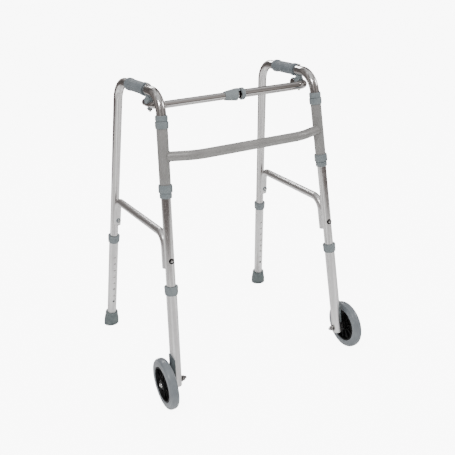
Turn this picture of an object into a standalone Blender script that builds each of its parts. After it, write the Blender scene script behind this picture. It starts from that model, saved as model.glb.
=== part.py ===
"""Folding two-wheeled walking frame with telescoping legs.

Metres, +Z up. The wheels are at the front, which faces -Y; the user stands behind the
frame and faces -Y too, so the user's right-hand side frame is the one at -X. The origin
is on the floor, under the middle of the whole frame.
"""
import math

import bmesh
import bpy
from mathutils import Matrix, Vector

# ---------------------------------------------------------------- driving dimensions
# Each side frame lies in a plane x = side * (HALF_WIDTH + TOE_OUT * y - LEAN_IN * z),
# with y counted backwards from the front leg's foot on the floor.
HALF_WIDTH = 0.274
TOE_OUT = 0.033
LEAN_IN = 0.064
FRONT_RAKE = 0.0785
REAR_FOOT = 0.537
REAR_RAKE = 0.221
HANDLE_Z = 0.842
FRONT_BEND = 0.055
REAR_BEND = 0.070

LEG_R = 0.0127
LEG_BORE = 0.0112
LOWER_R = 0.0147
LOWER_BORE = 0.0131
GAP = 0.0003
COLLAR_BORE = 0.0131

FRONT_BUTTON_Z = 0.160
REAR_BUTTON_Z = 0.148
HOLE_PITCH = 0.0254
HOLES_BELOW = 2
HOLES_ABOVE = 5
HOLE_R = 0.0038
BUTTON_R = 0.0032
TUBE_PAST_BUTTON = 0.034

LEG_COLLAR_Z = 0.324
LEG_COLLAR_R = 0.0187
LEG_COLLAR_LENGTH = 0.024
FRONT_LEG_END_Z = 0.057

SLEEVE_R = 0.0146
SLEEVE_BORE = 0.0134
SLEEVE_TOP_Z = 0.7727
SLEEVE_END_Z = 0.6025
BUSHING_CAP = 0.0040
UPPER_BUSHING_R = 0.0169
UPPER_SKIRT = 0.0135
LOWER_BUSHING_R = 0.0181
LOWER_SKIRT = 0.0165
STOP_R = 0.0160
STOP_LENGTH = 0.0138

CROSSBAR_Z = 0.689
CROSSBAR_R = 0.0127
CROSSBAR_BORE = 0.0112
CROSSBAR_Y = 0.020
CROSSBAR_BEND_X = 0.155
CROSSBAR_BEND = 0.120

BRACE_R = 0.0110
BRACE_BORE = 0.0096
BRACE_Z = 0.482
BRACE_BEND = 0.036
BRACE_FRONT_END_Z = 0.391
BRACE_REAR_END_Z = 0.400
RIVET_Z = 0.419
RIVET_R = 0.0030
RIVET_HOLE_R = 0.0033
RIVET_HEAD_R = 0.0066

GRIP_FRONT_Y = 0.1515
GRIP_REAR_Y = 0.2680
GRIP_R = 0.0152
GRIP_FLANGE_R = 0.0174
GRIP_BORE = 0.0131

PIVOT_Y = 0.139
BAR_Z = 0.808
BAR_Y = 0.100
BAR_REAR_Y = 0.170
BAR_BEND = 0.026
INNER_BAR_R = 0.0095
INNER_BAR_BORE = 0.0083
OUTER_BAR_R = 0.0110
OUTER_BAR_BORE = 0.0098
INNER_BAR_END_X = 0.0094
OUTER_BAR_END_X = 0.0150
SADDLE_SPLIT_Z = 0.8215
PIVOT_BOLT_R = 0.0030
PIVOT_HOLE_R = 0.0033

WHEEL_R = 0.072
WHEEL_WIDTH = 0.026
WHEEL_OFFSET = 0.0315
RIM_R = 0.0505
AXLE_R = 0.0040
AXLE_HOLE_R = 0.0043
BEARING_BORE = 0.0044
BEARING_R = 0.0110

TIP_R = 0.0243
TIP_TOP = 0.050
TIP_FLOOR = 0.012

# How many flat faces stand for a round one.
TUBE_SIDES = 12
BRACE_SIDES = 10
RING_SIDES = 16
SMALL_SIDES = 12
WHEEL_SIDES = 32

SIDES = {"right": -1, "left": 1}
FRONT_MOST_Y = FRONT_RAKE * WHEEL_R - WHEEL_R
REAR_MOST_Y = REAR_FOOT + TIP_R * math.hypot(1, REAR_RAKE)
MIDDLE_Y = (FRONT_MOST_Y + REAR_MOST_Y) / 2

# ---------------------------------------------------------------- scene and materials
for old in list(bpy.data.objects):
    bpy.data.objects.remove(old, do_unlink=True)


def new_collection(name):
    collection = bpy.data.collections.new(name)
    bpy.context.scene.collection.children.link(collection)
    return collection


PARTS = new_collection("walking_frame")
CUTTERS = new_collection("cutters")

FINISHES = {
    "bright_aluminium": ((0.72, 0.71, 0.70), 0.22, 1.0),
    "grey_paint": ((0.33, 0.32, 0.31), 0.38, 0.0),
    "grey_plastic": ((0.20, 0.23, 0.24), 0.50, 0.0),
    "grip_rubber": ((0.16, 0.18, 0.20), 0.65, 0.0),
    "tip_rubber": ((0.16, 0.19, 0.19), 0.75, 0.0),
    "tyre": ((0.23, 0.25, 0.27), 0.45, 0.0),
    "hub": ((0.012, 0.012, 0.012), 0.35, 0.0),
    "steel": ((0.60, 0.60, 0.60), 0.30, 1.0),
    "chrome": ((0.75, 0.73, 0.72), 0.10, 1.0),
    "black_plastic": ((0.020, 0.020, 0.022), 0.45, 0.0),
}


def finish(name):
    if name in bpy.data.materials:
        return bpy.data.materials[name]
    colour, roughness, metallic = FINISHES[name]
    material = bpy.data.materials.new(name)
    material.use_nodes = True
    shader = material.node_tree.nodes["Principled BSDF"]
    shader.inputs["Base Color"].default_value = (*colour, 1.0)
    shader.inputs["Roughness"].default_value = roughness
    shader.inputs["Metallic"].default_value = metallic
    return material


# ---------------------------------------------------------------- frame geometry
def side_point(side, y, z):
    return Vector((side * (HALF_WIDTH + TOE_OUT * y - LEAN_IN * z), y - MIDDLE_Y, z))


def front_leg(side, z):
    return side_point(side, FRONT_RAKE * z, z)


def rear_leg(side, z):
    return side_point(side, REAR_FOOT - REAR_RAKE * z, z)


def up_leg(leg, side):
    return (leg(side, 1.0) - leg(side, 0.0)).normalized()


def handle_way(side):
    """Along the handle, from front to rear."""
    return Vector((side * TOE_OUT, 1.0, 0.0)).normalized()


def leg_normal(leg, side):
    """Square to a leg, in the side frame's plane, pointing to the rear."""
    across = handle_way(side).cross(up_leg(front_leg, side))
    normal = up_leg(leg, side).cross(across).normalized()
    return normal if normal.y > 0 else -normal


def rounded_path(points, radii, steps):
    """The polyline through points, with an arc of the given radius at each inner corner."""
    path = [points[0]]
    for before, corner, after, radius in zip(points, points[1:], points[2:], radii):
        way_in = (before - corner).normalized()
        way_out = (after - corner).normalized()
        half = way_in.angle(way_out) / 2
        centre = corner + (way_in + way_out).normalized() * (radius / math.sin(half))
        first = corner + way_in * (radius / math.tan(half)) - centre
        last = corner + way_out * (radius / math.tan(half)) - centre
        path += [centre + first.slerp(last, n / steps).normalized() * radius for n in range(steps + 1)]
    return path + [points[-1]]


# ---------------------------------------------------------------- modelling helpers
def link(name, mesh, material=None, cutter=False):
    obj = bpy.data.objects.new(name, mesh)
    if cutter:
        CUTTERS.objects.link(obj)
        obj.hide_render = True
        obj.display_type = "WIRE"
    else:
        PARTS.objects.link(obj)
    if material:
        mesh.materials.append(finish(material))
    return obj


def aim(obj, origin, axis, facing=Vector((0, 1, 0))):
    """Puts an object at origin with its own +Z along axis and its +X towards facing."""
    up = axis.normalized()
    out = (facing - up * facing.dot(up)).normalized()
    obj.location = origin
    obj.rotation_euler = Matrix((out, up.cross(out), up)).transposed().to_euler()
    return obj


def turned(name, profile, material, steps=RING_SIDES, ring=True):
    """Screws a profile of (radius, height) points, which runs down its outer side."""
    mesh = bpy.data.meshes.new(name)
    shape = bmesh.new()
    corners = [shape.verts.new((radius, 0, height)) for radius, height in profile]
    for first, second in zip(corners, corners[1:]):
        shape.edges.new((first, second))
    if ring:
        shape.edges.new((corners[-1], corners[0]))
    shape.to_mesh(mesh)
    shape.free()
    obj = link(name, mesh, material)
    screw = obj.modifiers.new("turn", "SCREW")
    screw.steps = steps
    screw.render_steps = steps
    screw.use_merge_vertices = True
    screw.merge_threshold = 0.00001
    screw.use_smooth_shade = False
    return obj


def sleeve_shape(outer, bore, length):
    return [(outer, length), (outer, 0), (bore, 0), (bore, length)]


def rod(name, centre, axis, radius, length, sides=RING_SIDES):
    mesh = bpy.data.meshes.new(name)
    shape = bmesh.new()
    bmesh.ops.create_cone(shape, cap_ends=True, segments=sides, radius1=radius,
                          radius2=radius, depth=length)
    shape.to_mesh(mesh)
    shape.free()
    return aim(link(name, mesh, cutter=True), centre, axis, Vector((0.3, 1, 0.1)))


def block(name, centre, size, cutter=True, material=None):
    mesh = bpy.data.meshes.new(name)
    shape = bmesh.new()
    bmesh.ops.create_cube(shape, size=1.0, matrix=Matrix.Diagonal((*size, 1.0)))
    shape.to_mesh(mesh)
    shape.free()
    obj = link(name, mesh, material, cutter)
    obj.location = centre
    return obj


def boolean(obj, other, operation="DIFFERENCE"):
    change = obj.modifiers.new(operation.lower() + "_" + other.name, "BOOLEAN")
    change.operation = operation
    change.solver = "EXACT"
    change.object = other
    return obj


def swept(name, path, radius, sides, material=None, cutter=False):
    """A round rod along a path, made as a curve and kept as a mesh with welded caps."""
    curve = bpy.data.curves.new(name + "_path", "CURVE")
    curve.dimensions = "3D"
    curve.bevel_depth = radius
    curve.bevel_resolution = (sides - 4) // 2
    curve.use_fill_caps = True
    spline = curve.splines.new("POLY")
    spline.points.add(len(path) - 1)
    for point, place in zip(spline.points, path):
        point.co = (*place, 1.0)
    guide = bpy.data.objects.new(name + "_path", curve)
    CUTTERS.objects.link(guide)
    bpy.context.view_layer.update()
    graph = bpy.context.evaluated_depsgraph_get()
    mesh = bpy.data.meshes.new_from_object(guide.evaluated_get(graph))
    mesh.name = name
    mesh.materials.clear()
    shape = bmesh.new()
    shape.from_mesh(mesh)
    bmesh.ops.remove_doubles(shape, verts=shape.verts, dist=0.000001)
    bmesh.ops.recalc_face_normals(shape, faces=shape.faces)
    shape.to_mesh(mesh)
    shape.free()
    obj = link(name, mesh, material, cutter)
    obj.matrix_world = guide.matrix_world
    bpy.data.objects.remove(guide, do_unlink=True)
    return obj


def hollow_tube(name, path, radius, bore, sides, material):
    """A bent tube: a rod along the path, bored by a thinner one that is longer at each end."""
    obj = swept(name, path, radius, sides, material)
    start = path[0] + (path[0] - path[1]).normalized() * 0.002
    end = path[-1] + (path[-1] - path[-2]).normalized() * 0.002
    return boolean(obj, swept(name + "_bore", [start, *path[1:-1], end], bore, sides, cutter=True))


def joint_empty(name, place, axis):
    empty = bpy.data.objects.new(name, None)
    empty.empty_display_size = 0.03
    PARTS.objects.link(empty)
    return aim(empty, place, axis, Vector((0.1, 1, 0.2)))


def carry(empty, parent, pieces):
    """Hangs pieces on a joint's empty, and the empty on its parent, where they stand."""
    bpy.context.view_layer.update()
    for piece, holder in [(empty, parent), *[(piece, empty) for piece in pieces]]:
        if holder:
            piece.parent = holder
            piece.matrix_parent_inverse = holder.matrix_world.inverted()
    return empty


# ---------------------------------------------------------------- the front frame
def sleeve(word, side):
    foot = front_leg(side, SLEEVE_END_Z)
    length = (front_leg(side, SLEEVE_TOP_Z) - foot).length
    tube = turned("sleeve_" + word, sleeve_shape(SLEEVE_R, SLEEVE_BORE, length), "grey_paint")
    return aim(tube, foot, up_leg(front_leg, side))


def bushing(name, side, z, way):
    """A cup on one end of a sleeve: its skirt wraps the sleeve and its cap carries the leg."""
    outer, skirt = (UPPER_BUSHING_R, UPPER_SKIRT) if way > 0 else (LOWER_BUSHING_R, LOWER_SKIRT)
    top = skirt + BUSHING_CAP
    skirt_bore = SLEEVE_R + GAP
    profile = [
        (outer - 0.0012, top), (outer, top - 0.0012), (outer, 0), (skirt_bore, 0),
        (skirt_bore, skirt + GAP),
        (COLLAR_BORE, skirt + GAP), (COLLAR_BORE, top),
    ]
    cup = turned(name, profile, "grey_plastic")
    axis = up_leg(front_leg, side) * way
    return aim(cup, front_leg(side, z) - axis * skirt, axis)


def crossbar():
    half = []
    for side in (-1, 1):
        end = front_leg(side, CROSSBAR_Z)
        bend = Vector((side * CROSSBAR_BEND_X, CROSSBAR_Y - MIDDLE_Y, CROSSBAR_Z))
        half.append([end, bend] if side < 0 else [bend, end])
    path = rounded_path(half[0] + half[1], [CROSSBAR_BEND] * 2, 4)
    bar = hollow_tube("front_crossbar", path, CROSSBAR_R, CROSSBAR_BORE, TUBE_SIDES, "grey_paint")
    for word, side in SIDES.items():
        cope = rod("cope_" + word, front_leg(side, CROSSBAR_Z), up_leg(front_leg, side),
                   SLEEVE_R + 2 * GAP, 0.08)
        boolean(bar, cope)
    return bar


# ---------------------------------------------------------------- the side frames
def side_tube(word, side):
    front_end = front_leg(side, FRONT_BUTTON_Z - TUBE_PAST_BUTTON)
    rear_end = rear_leg(side, REAR_BUTTON_Z - TUBE_PAST_BUTTON)
    corners = [front_end, front_leg(side, HANDLE_Z), rear_leg(side, HANDLE_Z), rear_end]
    path = rounded_path(corners, [FRONT_BEND, REAR_BEND], 5)
    tube = hollow_tube("side_tube_" + word, path, LEG_R, LEG_BORE, TUBE_SIDES, "bright_aluminium")
    for leg, z, way, place in button_seats(side):
        hole = rod("button_hole_%s_%s" % (place, word), leg(side, z) + way * LEG_R, way,
                   HOLE_R, 0.008, 8)
        boolean(tube, hole)
    return tube


def button_seats(side):
    """Each leg's button: its leg, its height, the way it sticks out, and its name."""
    return (
        (front_leg, FRONT_BUTTON_Z, leg_normal(front_leg, side), "front"),
        (rear_leg, REAR_BUTTON_Z, -leg_normal(rear_leg, side), "rear"),
    )


def brace_offset():
    return LEG_R + BRACE_R + GAP


def brace(word, side):
    front_shift = leg_normal(front_leg, side) * brace_offset()
    rear_shift = -leg_normal(rear_leg, side) * brace_offset()
    corners = [
        front_leg(side, BRACE_FRONT_END_Z) + front_shift,
        front_leg(side, BRACE_Z) + front_shift,
        rear_leg(side, BRACE_Z) + rear_shift,
        rear_leg(side, BRACE_REAR_END_Z) + rear_shift,
    ]
    path = rounded_path(corners, [BRACE_BEND] * 2, 4)
    return hollow_tube("side_brace_" + word, path, BRACE_R, BRACE_BORE, BRACE_SIDES, "bright_aluminium")


def rivet(name, centre, way, head_seat, tail_seat):
    """A rivet along way: a domed head at head_seat and an upset tail at -tail_seat."""
    profile = [
        (0, head_seat + 0.0034), (RIVET_HEAD_R * 0.6, head_seat + 0.0030),
        (RIVET_HEAD_R, head_seat), (RIVET_R, head_seat), (RIVET_R, -tail_seat),
        (RIVET_HEAD_R * 0.8, -tail_seat), (RIVET_R, -tail_seat - 0.0024),
        (0, -tail_seat - 0.0024),
    ]
    return aim(turned(name, profile, "steel", SMALL_SIDES, ring=False), centre, way)


def rivets(word, side, tube, arch):
    """The two rivets that hold the brace's ends against the legs."""
    leg_seat = LEG_R + GAP
    brace_seat = brace_offset() + BRACE_R + GAP
    forward = -leg_normal(front_leg, side)
    made = [rivet("brace_rivet_front_" + word, front_leg(side, RIVET_Z), forward,
                  leg_seat, brace_seat)]
    rear_forward = -leg_normal(rear_leg, side)
    made.append(rivet("brace_rivet_rear_" + word, rear_leg(side, RIVET_Z), rear_forward,
                      brace_seat, leg_seat))
    for piece, way in zip(made, (forward, rear_forward)):
        hole = rod("hole_" + piece.name, piece.location, way, RIVET_HOLE_R, 0.14, SMALL_SIDES)
        boolean(tube, hole)
        boolean(arch, hole)
    return made


def stop_collars(word, side):
    """Rings fixed on the leg beyond each end of the sleeve, which keep it in place."""
    axis = up_leg(front_leg, side)
    shape = [
        (STOP_R - 0.0010, STOP_LENGTH), (STOP_R, STOP_LENGTH - 0.0010), (STOP_R, 0),
        (COLLAR_BORE, 0), (COLLAR_BORE, STOP_LENGTH),
    ]
    seats = (("upper", SLEEVE_TOP_Z, axis), ("lower", SLEEVE_END_Z, -axis))
    made = []
    for place, z, way in seats:
        ring = turned("stop_collar_%s_%s" % (place, word), shape, "grey_plastic")
        made.append(aim(ring, front_leg(side, z) + way * (BUSHING_CAP + 2 * GAP), way))
    return made


def grip(word, side):
    length = (GRIP_REAR_Y - GRIP_FRONT_Y) * math.hypot(1, TOE_OUT)
    flange = 0.0075
    profile = [
        (GRIP_FLANGE_R - 0.0015, length), (GRIP_FLANGE_R, length - 0.002),
        (GRIP_FLANGE_R, length - flange + 0.001), (GRIP_R, length - flange - 0.004),
        (GRIP_R, flange + 0.004), (GRIP_FLANGE_R, flange - 0.001), (GRIP_FLANGE_R, 0.002),
        (GRIP_FLANGE_R - 0.0015, 0), (GRIP_BORE, 0), (GRIP_BORE, length),
    ]
    sleeve_piece = turned("hand_grip_" + word, profile, "grip_rubber")
    return aim(sleeve_piece, side_point(side, GRIP_FRONT_Y, HANDLE_Z), handle_way(side),
               Vector((0, 0, 1)))


# ---------------------------------------------------------------- the spreader bar
def pivot_point(side, z):
    return Vector((*side_point(side, PIVOT_Y, HANDLE_Z).xy, z))


def pivot_fasteners(word, side, tube, bar, bar_radius):
    """The bolt down through handle and bar, its flange nut, and the two saddles between."""
    down_to = BAR_Z - bar_radius - GAP
    head_seat = HANDLE_Z + LEG_R + GAP
    bolt_profile = [
        (0, head_seat + 0.0040), (0.0038, head_seat + 0.0036), (0.0058, head_seat),
        (PIVOT_BOLT_R, head_seat), (PIVOT_BOLT_R, down_to - 0.0105),
        (0, down_to - 0.0105),
    ]
    bolt = turned("bar_pivot_bolt_" + word, bolt_profile, "steel", SMALL_SIDES, ring=False)
    bolt.location = pivot_point(side, 0)
    nut_bore = PIVOT_BOLT_R / math.cos(math.pi / 6) + GAP
    nut_profile = [
        (0.0068, down_to), (0.0068, down_to - 0.0060), (nut_bore, down_to - 0.0060),
        (nut_bore, down_to),
    ]
    nut = turned("bar_pivot_nut_" + word, nut_profile, "steel", 6)
    nut.location = pivot_point(side, 0)

    upper = turned("bar_saddle_upper_" + word, [
        (0.0092, HANDLE_Z - 0.0060), (0.0092, SADDLE_SPLIT_Z + 0.0022),
        (0.0112, SADDLE_SPLIT_Z + GAP), (PIVOT_HOLE_R, SADDLE_SPLIT_Z + GAP),
        (PIVOT_HOLE_R, HANDLE_Z - 0.0060)], "grey_plastic", SMALL_SIDES)
    upper.location = pivot_point(side, 0)
    boolean(upper, rod("saddle_seat_upper_" + word, side_point(side, PIVOT_Y, HANDLE_Z),
                       handle_way(side), LEG_R + 2 * GAP, 0.06))
    lower = turned("bar_saddle_lower_" + word, [
        (0.0105, SADDLE_SPLIT_Z), (0.0126, SADDLE_SPLIT_Z - 0.0016), (0.0126, BAR_Z + 0.0060),
        (PIVOT_HOLE_R, BAR_Z + 0.0060), (PIVOT_HOLE_R, SADDLE_SPLIT_Z)], "grey_plastic", SMALL_SIDES)
    lower.location = pivot_point(side, 0)
    boolean(lower, rod("saddle_seat_lower_" + word, pivot_point(side, BAR_Z), Vector((0, 1, 0)),
                       bar_radius + 2 * GAP, 0.06))
    hole = rod("pivot_hole_" + word, pivot_point(side, BAR_Z + 0.02), Vector((0, 0, 1)),
               PIVOT_HOLE_R, 0.12, SMALL_SIDES)
    boolean(tube, hole)
    boolean(bar, hole)
    return [bolt, nut, upper], lower


def spreader_tube(word, side, radius, bore, end_x):
    corner_y = BAR_Y - MIDDLE_Y
    pivot = pivot_point(side, BAR_Z)
    corners = [
        Vector((pivot.x, BAR_REAR_Y - MIDDLE_Y, BAR_Z)),
        Vector((pivot.x, corner_y, BAR_Z)),
        Vector((end_x, corner_y, BAR_Z)),
    ]
    path = rounded_path(corners, [BAR_BEND], 5)
    return hollow_tube("spreader_tube_" + word, path, radius, bore, TUBE_SIDES, "chrome")


def latch():
    """The housing on the inner tube, its push button, and the ring on the outer tube."""
    centre = Vector((0, BAR_Y - MIDDLE_Y, BAR_Z))
    start, end = -0.032, 0.003
    along = Vector((1, 0, 0))
    mesh = bpy.data.meshes.new("latch_housing")
    shape = bmesh.new()
    bmesh.ops.create_cone(shape, cap_ends=True, segments=20, radius1=0.0115, radius2=0.0150,
                          depth=end - start)
    for vert in shape.verts:
        if vert.co.z > 0:
            vert.co.x += 0.0020
    shape.to_mesh(mesh)
    shape.free()
    housing = link("latch_housing", mesh, "grey_plastic")
    aim(housing, centre + along * (start + end) / 2, along, Vector((0, 0, 1)))
    bridge_start, bridge_end = end - 0.006, INNER_BAR_END_X
    bridge = block("latch_bridge", centre + Vector(((bridge_start + bridge_end) / 2, 0, 0.0136)),
                   (bridge_end - bridge_start, 0.0140, 0.0056))
    boolean(housing, bridge, "UNION")
    boolean(housing, rod("latch_bore", centre, along, INNER_BAR_R + 2 * GAP, 0.12))
    button = block("latch_button", centre + Vector((0.0064, -0.0142, 0.0010)),
                   (0.0056, 0.0030, 0.0085), False, "black_plastic")
    edge = button.modifiers.new("soft_edges", "BEVEL")
    edge.width = 0.0007
    edge.segments = 1
    ring = turned("latch_ring", [
        (0.0152, 0.0100), (0.0162, 0.0088), (0.0162, 0.0012), (0.0152, 0),
        (OUTER_BAR_R + 2 * GAP, 0), (OUTER_BAR_R + 2 * GAP, 0.0100)], "grey_plastic")
    aim(ring, centre + along * OUTER_BAR_END_X, along, Vector((0, 0, 1)))
    return housing, button, ring


# ---------------------------------------------------------------- the lower legs
def lower_leg(word, side, place, leg, end_z, button_z, way):
    """The outer tube of a leg, with its row of height holes, and the collar on its top."""
    axis = up_leg(leg, side)
    foot = leg(side, end_z)
    top = leg(side, LEG_COLLAR_Z) + axis * (LEG_COLLAR_LENGTH - 0.0043)
    shape = sleeve_shape(LOWER_R, LOWER_BORE, (top - foot).length)
    tube = aim(turned("%s_leg_tube_%s" % (place, word), shape, "bright_aluminium"), foot, axis)
    holes = bmesh.new()
    turn = Vector((0, 0, 1)).rotation_difference(way).to_matrix().to_4x4()
    for number in range(-HOLES_BELOW, HOLES_ABOVE + 1):
        spot = leg(side, button_z) + axis * (HOLE_PITCH * number) + way * LOWER_R
        bmesh.ops.create_cone(holes, cap_ends=True, segments=8, radius1=HOLE_R, radius2=HOLE_R,
                              depth=0.008, matrix=Matrix.Translation(spot) @ turn)
    mesh = bpy.data.meshes.new("height_holes")
    holes.to_mesh(mesh)
    holes.free()
    boolean(tube, link("height_holes_%s_%s" % (place, word), mesh, cutter=True))
    length = LEG_COLLAR_LENGTH
    outer = LEG_COLLAR_R
    collar = turned("%s_leg_collar_%s" % (place, word), [
        (outer - 0.0014, length), (outer, length - 0.0018), (outer, 0),
        (LOWER_R + GAP, 0), (LOWER_R + GAP, length - 0.0040), (COLLAR_BORE, length - 0.0040),
        (COLLAR_BORE, length)], "grey_plastic")
    return tube, aim(collar, leg(side, LEG_COLLAR_Z), axis)


def snap_button(word, side, leg, z, way, place):
    profile = [
        (0, 0.0166), (0.0018, 0.0162), (BUTTON_R, 0.0146), (BUTTON_R, 0.0088),
        (0.0046, 0.0088), (0.0046, 0.0078), (0, 0.0078),
    ]
    pin = turned("snap_button_%s_%s" % (place, word), profile, "steel", SMALL_SIDES, ring=False)
    return aim(pin, leg(side, z), way)


def rear_tip(word, side):
    cup = LOWER_R + GAP
    profile = [
        (0, TIP_FLOOR), (cup, TIP_FLOOR), (cup, TIP_TOP), (0.0196, TIP_TOP),
        (0.0208, TIP_TOP - 0.002), (TIP_R, 0.024), (TIP_R, -0.012), (0, -0.012),
    ]
    tip = turned("rear_tip_" + word, profile, "tip_rubber", ring=False)
    aim(tip, rear_leg(side, 0), up_leg(rear_leg, side))
    floor = block("floor_cut_" + word, rear_leg(side, 0) - Vector((0, 0, 0.05)), (0.2, 0.2, 0.1))
    return boolean(tip, floor)


# ---------------------------------------------------------------- the wheels
def axle_centre(side):
    return front_leg(side, WHEEL_R)


def wheel(word, side):
    """Tyre, hub and bearing, turned about the axle, which points outboard."""
    half = WHEEL_WIDTH / 2
    outboard = Vector((side, 0, 0))
    centre = axle_centre(side) + outboard * WHEEL_OFFSET
    shoulder = [
        (WHEEL_R - 0.0090, half), (WHEEL_R - 0.0030, half - 0.0032), (WHEEL_R, half - 0.0085),
    ]
    far_side = [(radius, -height) for radius, height in reversed(shoulder)]
    tread = [*shoulder, *far_side, (RIM_R, -half + 0.0010), (RIM_R, half - 0.0010)]
    tyre = aim(turned("tyre_" + word, tread, "tyre", WHEEL_SIDES), centre, outboard)
    rim = RIM_R - GAP
    bore = BEARING_R + GAP
    web = 0.0045
    hub_profile = [
        (rim, half - 0.0015), (rim, -half + 0.0015), (rim - 0.005, -half + 0.0015),
        (rim - 0.007, -web), (0.0180, -web), (0.0150, -half), (bore, -half), (bore, half),
        (0.0150, half), (0.0180, web), (rim - 0.007, web), (rim - 0.005, half - 0.0015),
    ]
    hub = aim(turned("wheel_hub_" + word, hub_profile, "hub", 24), centre, outboard)
    bearing = turned("wheel_bearing_" + word,
                     sleeve_shape(BEARING_R, BEARING_BORE, WHEEL_WIDTH), "steel", 12)
    aim(bearing, centre - outboard * half, outboard)
    return [tyre, hub, bearing]


def axle(word, side, tube):
    """The wheel's bolt, headed outside the hub, its spacer, and its nut inside the leg."""
    outboard = Vector((side, 0, 0))
    centre = axle_centre(side)
    head = WHEEL_OFFSET + WHEEL_WIDTH / 2 + GAP
    seat = LOWER_R + 0.0009
    spacer_end = WHEEL_OFFSET - WHEEL_WIDTH / 2 - GAP
    profile = [
        (0, head + 0.0046), (0.0045, head + 0.0042), (0.0070, head), (AXLE_R, head),
        (AXLE_R, -seat - 0.0140), (0, -seat - 0.0140),
    ]
    bolt = turned("axle_bolt_" + word, profile, "steel", SMALL_SIDES, ring=False)
    aim(bolt, centre, outboard)
    nut_bore = AXLE_R / math.cos(math.pi / 6) + GAP
    nut = turned("axle_nut_" + word, [
        (0.0082, 0.0090), (0.0082, 0), (nut_bore, 0), (nut_bore, 0.0090)], "steel", 6)
    aim(nut, centre - outboard * seat, -outboard)
    spacer = turned("axle_spacer_" + word, sleeve_shape(0.0080, BEARING_BORE, spacer_end - seat),
                    "steel", SMALL_SIDES)
    aim(spacer, centre + outboard * seat, outboard)
    boolean(tube, rod("axle_hole_" + word, centre, outboard, AXLE_HOLE_R, 0.06, SMALL_SIDES))
    return [bolt, nut, spacer]


# ---------------------------------------------------------------- assembly
def build_side(word, side):
    tube = side_tube(word, side)
    arch = brace(word, side)
    inner = side < 0
    bar_radius = INNER_BAR_R if inner else OUTER_BAR_R
    bar_bore = INNER_BAR_BORE if inner else OUTER_BAR_BORE
    bar = spreader_tube(word, side, bar_radius, bar_bore, INNER_BAR_END_X if inner else OUTER_BAR_END_X)
    fasteners, lower_saddle = pivot_fasteners(word, side, tube, bar, bar_radius)
    fixed = [tube, arch, grip(word, side), *rivets(word, side, tube, arch),
             *stop_collars(word, side), *fasteners]
    fold_axis = joint_empty(word + "_fold_axis", front_leg(side, SLEEVE_END_Z),
                            up_leg(front_leg, side))
    carry(fold_axis, None, fixed)
    swing_axis = joint_empty(word + "_bar_swing_axis", pivot_point(side, BAR_Z), Vector((0, 0, 1)))
    carry(swing_axis, fold_axis, [bar, lower_saddle])

    for leg, z, way, place in button_seats(side):
        end_z = FRONT_LEG_END_Z if place == "front" else TIP_FLOOR + 0.0010
        lower, collar = lower_leg(word, side, place, leg, end_z, z, way)
        slide = joint_empty("%s_%s_leg_slide" % (place, word), leg(side, LEG_COLLAR_Z),
                            -up_leg(leg, side))
        if place == "front":
            carry(slide, fold_axis, [lower, collar, *axle(word, side, lower)])
            spin = joint_empty(word + "_wheel_axis", axle_centre(side), Vector((1, 0, 0)))
            carry(spin, slide, wheel(word, side))
        else:
            carry(slide, fold_axis, [lower, collar, rear_tip(word, side)])
        button = snap_button(word, side, leg, z, way, place)
        press = joint_empty("%s_%s_button_press" % (place, word), leg(side, z), -way)
        carry(press, fold_axis, [button])
    return swing_axis


def build():
    crossbar()
    for word, side in SIDES.items():
        sleeve(word, side)
        bushing("sleeve_bushing_upper_" + word, side, SLEEVE_TOP_Z, 1)
        bushing("sleeve_bushing_lower_" + word, side, SLEEVE_END_Z, -1)
    swings = {word: build_side(word, side) for word, side in SIDES.items()}
    housing, button, ring = latch()
    carry(swings["right"], swings["right"].parent, [housing])
    press = joint_empty("latch_button_press", button.location.copy(), Vector((0, 1, 0)))
    carry(press, swings["right"], [button])
    carry(swings["left"], swings["left"].parent, [ring])
    for obj in PARTS.objects:
        if obj.type == "MESH":
            obj.data.shade_smooth()
            obj.data.set_sharp_from_angle(angle=math.radians(35))


build()
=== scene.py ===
"""The walking frame's looks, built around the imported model. Metres, +Z up, the wheels towards -Y."""
import math

import bmesh
import bpy
from mathutils import Matrix, Vector


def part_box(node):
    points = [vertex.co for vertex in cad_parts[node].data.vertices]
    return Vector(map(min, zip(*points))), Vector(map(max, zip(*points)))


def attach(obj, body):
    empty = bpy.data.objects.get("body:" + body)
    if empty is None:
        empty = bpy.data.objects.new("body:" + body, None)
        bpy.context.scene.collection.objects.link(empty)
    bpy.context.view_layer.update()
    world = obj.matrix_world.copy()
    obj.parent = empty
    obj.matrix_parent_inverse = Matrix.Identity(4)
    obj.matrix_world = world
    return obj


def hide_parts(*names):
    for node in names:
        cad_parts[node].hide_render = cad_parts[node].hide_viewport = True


# ---------------------------------------------------------------- driving dimensions, as in the solid model
HALF_WIDTH = 0.274
TOE_OUT = 0.033
LEAN_IN = 0.064
FRONT_RAKE = 0.0785
REAR_FOOT = 0.537
REAR_RAKE = 0.221
HANDLE_Z = 0.842
FRONT_BEND = 0.055
REAR_BEND = 0.070
LEG_R = 0.0127
LEG_BORE = 0.0112
LOWER_R = 0.0147
LOWER_BORE = 0.0131
FIT = 0.0004
PRESS_GAP = 0.0001  # left where one part is pressed on another
SLIP_GAP = 0.0002  # left where one part slips over another
SEAT_GAP = 0.0003  # left where one part rests against another

FRONT_BUTTON_Z = 0.160
REAR_BUTTON_Z = 0.148
HOLE_PITCH = 0.0254
HOLE_R = 0.0038
HOLES_BELOW = 2
HOLES_ABOVE = 5
TUBE_PAST_BUTTON = 0.034
LEG_COLLAR_Z = 0.324
LEG_COLLAR_R = 0.0187
LEG_COLLAR_LENGTH = 0.024
LEG_COLLAR_LIP = 0.0040
FRONT_LEG_END_Z = 0.057

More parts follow.
